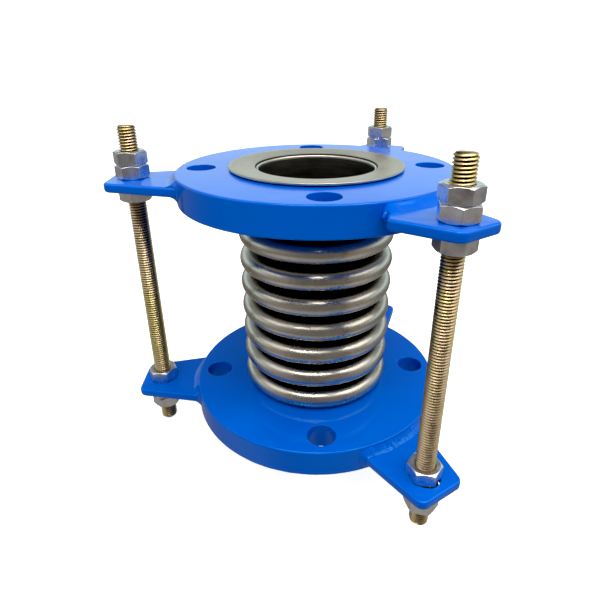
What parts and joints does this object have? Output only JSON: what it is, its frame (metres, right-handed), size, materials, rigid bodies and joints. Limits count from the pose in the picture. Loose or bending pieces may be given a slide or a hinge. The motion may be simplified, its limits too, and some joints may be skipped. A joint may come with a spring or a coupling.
{
  "type": "expansion joint",
  "caption": "Tied expansion joint: convoluted steel bellows between two loose lap flanges, held by threaded tie rods through welded lugs.",
  "frame": {"origin": "centre of the lower sealing face, on the pipe axis", "axes": "+Z along the pipe axis from the lower to the upper sealing face; +X towards one bolt hole, with the tie rods at 60, 180 and 300 degrees"},
  "size_m": [0.2178, 0.2392, 0.221],
  "materials": {
    "blue_enamel": "glossy cobalt blue enamel, sprayed over flange, lugs and welds",
    "turned_stainless": "lathe-turned stainless lap ring, fine concentric marks",
    "bellows_stainless": "satin formed stainless sheet",
    "liner_stainless": "dull drawn stainless tube",
    "yellow_zinc": "yellow chromate over zinc, slightly iridescent",
    "white_zinc": "bright white zinc plate"
  },
  "bodies": {
    "lower_frame": {"lower_flange": "blue_enamel", "lower_lug_1": "blue_enamel", "lower_lug_2": "blue_enamel", "lower_lug_3": "blue_enamel", "lower_weld_1": "blue_enamel", "lower_weld_2": "blue_enamel", "lower_weld_3": "blue_enamel", "tie_rod_1": "yellow_zinc", "tie_rod_2": "yellow_zinc", "tie_rod_3": "yellow_zinc", "lower_stop_nut_1": "white_zinc", "lower_stop_nut_2": "white_zinc", "lower_stop_nut_3": "white_zinc", "lower_nut_1": "white_zinc", "lower_nut_2": "white_zinc", "lower_nut_3": "white_zinc", "lower_jam_nut_1": "white_zinc", "lower_jam_nut_2": "white_zinc", "lower_jam_nut_3": "white_zinc"},
    "lower_core": {"lower_stub_end": "turned_stainless", "bellows": "bellows_stainless"},
    "upper_core": {"upper_stub_end": "turned_stainless", "flow_liner": "liner_stainless"},
    "upper_frame": {"upper_flange": "blue_enamel", "upper_lug_1": "blue_enamel", "upper_lug_2": "blue_enamel", "upper_lug_3": "blue_enamel", "upper_weld_1": "blue_enamel", "upper_weld_2": "blue_enamel", "upper_weld_3": "blue_enamel"},
    "upper_jam_nut_1": {"upper_jam_nut_1": "white_zinc"},
    "upper_jam_nut_2": {"upper_jam_nut_2": "white_zinc"},
    "upper_jam_nut_3": {"upper_jam_nut_3": "white_zinc"},
    "upper_nut_1": {"upper_nut_1": "white_zinc"},
    "upper_nut_2": {"upper_nut_2": "white_zinc"},
    "upper_nut_3": {"upper_nut_3": "white_zinc"},
    "upper_stop_nut_1": {"upper_stop_nut_1": "white_zinc"},
    "upper_stop_nut_2": {"upper_stop_nut_2": "white_zinc"},
    "upper_stop_nut_3": {"upper_stop_nut_3": "white_zinc"}
  },
  "joints": [
    {"name": "core_swivel", "type": "hinge", "parent": "lower_frame", "child": "lower_core", "pos_m": [0, 0, 0], "axis": [0, 0, 1], "continuous": true},
    {"name": "bellows_travel", "type": "slide", "parent": "lower_core", "child": "upper_core", "axis": [0, 0, 1], "range_m": [-0.02, 0.01], "stiffness_N_per_m": 42000, "deforming": ["bellows"]},
    {"name": "upper_flange_turn", "type": "hinge", "parent": "upper_core", "child": "upper_frame", "pos_m": [0, 0, 0.1726], "axis": [0, 0, 1], "continuous": true},
    {"name": "upper_jam_nut_1_turn", "type": "hinge", "parent": "upper_frame", "child": "upper_jam_nut_1", "pos_m": [0.05775, 0.10003, 0.18045], "axis": [0, 0, 1], "range_deg": [-4115.29, 2058.14]},
    {"name": "upper_jam_nut_2_turn", "type": "hinge", "parent": "upper_frame", "child": "upper_jam_nut_2", "pos_m": [-0.1155, 0, 0.17985], "axis": [0, 0, 1], "range_deg": [-4115.29, 2058.14]},
    {"name": "upper_jam_nut_3_turn", "type": "hinge", "parent": "upper_frame", "child": "upper_jam_nut_3", "pos_m": [0.05775, -0.10003, 0.18145], "axis": [0, 0, 1], "range_deg": [-4115.29, 2058.14]},
    {"name": "upper_nut_1_turn", "type": "hinge", "parent": "upper_frame", "child": "upper_nut_1", "pos_m": [0.05775, 0.10003, 0.17195], "axis": [0, 0, 1], "range_deg": [-4115.29, 2058.14]},
    {"name": "upper_nut_2_turn", "type": "hinge", "parent": "upper_frame", "child": "upper_nut_2", "pos_m": [-0.1155, 0, 0.17135], "axis": [0, 0, 1], "range_deg": [-4115.29, 2058.14]},
    {"name": "upper_nut_3_turn", "type": "hinge", "parent": "upper_frame", "child": "upper_nut_3", "pos_m": [0.05775, -0.10003, 0.17295], "axis": [0, 0, 1], "range_deg": [-4115.29, 2058.14]},
    {"name": "upper_stop_nut_1_turn", "type": "hinge", "parent": "upper_frame", "child": "upper_stop_nut_1", "pos_m": [0.05775, 0.10003, 0.15765], "axis": [0, 0, 1], "range_deg": [-4115.29, 2058.14]},
    {"name": "upper_stop_nut_2_turn", "type": "hinge", "parent": "upper_frame", "child": "upper_stop_nut_2", "pos_m": [-0.1155, 0, 0.15705], "axis": [0, 0, 1], "range_deg": [-4115.29, 2058.14]},
    {"name": "upper_stop_nut_3_turn", "type": "hinge", "parent": "upper_frame", "child": "upper_stop_nut_3", "pos_m": [0.05775, -0.10003, 0.15865], "axis": [0, 0, 1], "range_deg": [-4115.29, 2058.14]}
  ],
  "couplings": [
    {"joint": "upper_flange_turn", "follows": "core_swivel", "ratio": -1},
    {"joint": "upper_jam_nut_1_turn", "follows": "bellows_travel", "rad_per_m": 3590.4},
    {"joint": "upper_jam_nut_2_turn", "follows": "bellows_travel", "rad_per_m": 3590.4},
    {"joint": "upper_jam_nut_3_turn", "follows": "bellows_travel", "rad_per_m": 3590.4},
    {"joint": "upper_nut_1_turn", "follows": "bellows_travel", "rad_per_m": 3590.4},
    {"joint": "upper_nut_2_turn", "follows": "bellows_travel", "rad_per_m": 3590.4},
    {"joint": "upper_nut_3_turn", "follows": "bellows_travel", "rad_per_m": 3590.4},
    {"joint": "upper_stop_nut_1_turn", "follows": "bellows_travel", "rad_per_m": 3590.4},
    {"joint": "upper_stop_nut_2_turn", "follows": "bellows_travel", "rad_per_m": 3590.4},
    {"joint": "upper_stop_nut_3_turn", "follows": "bellows_travel", "rad_per_m": 3590.4}
  ]
}
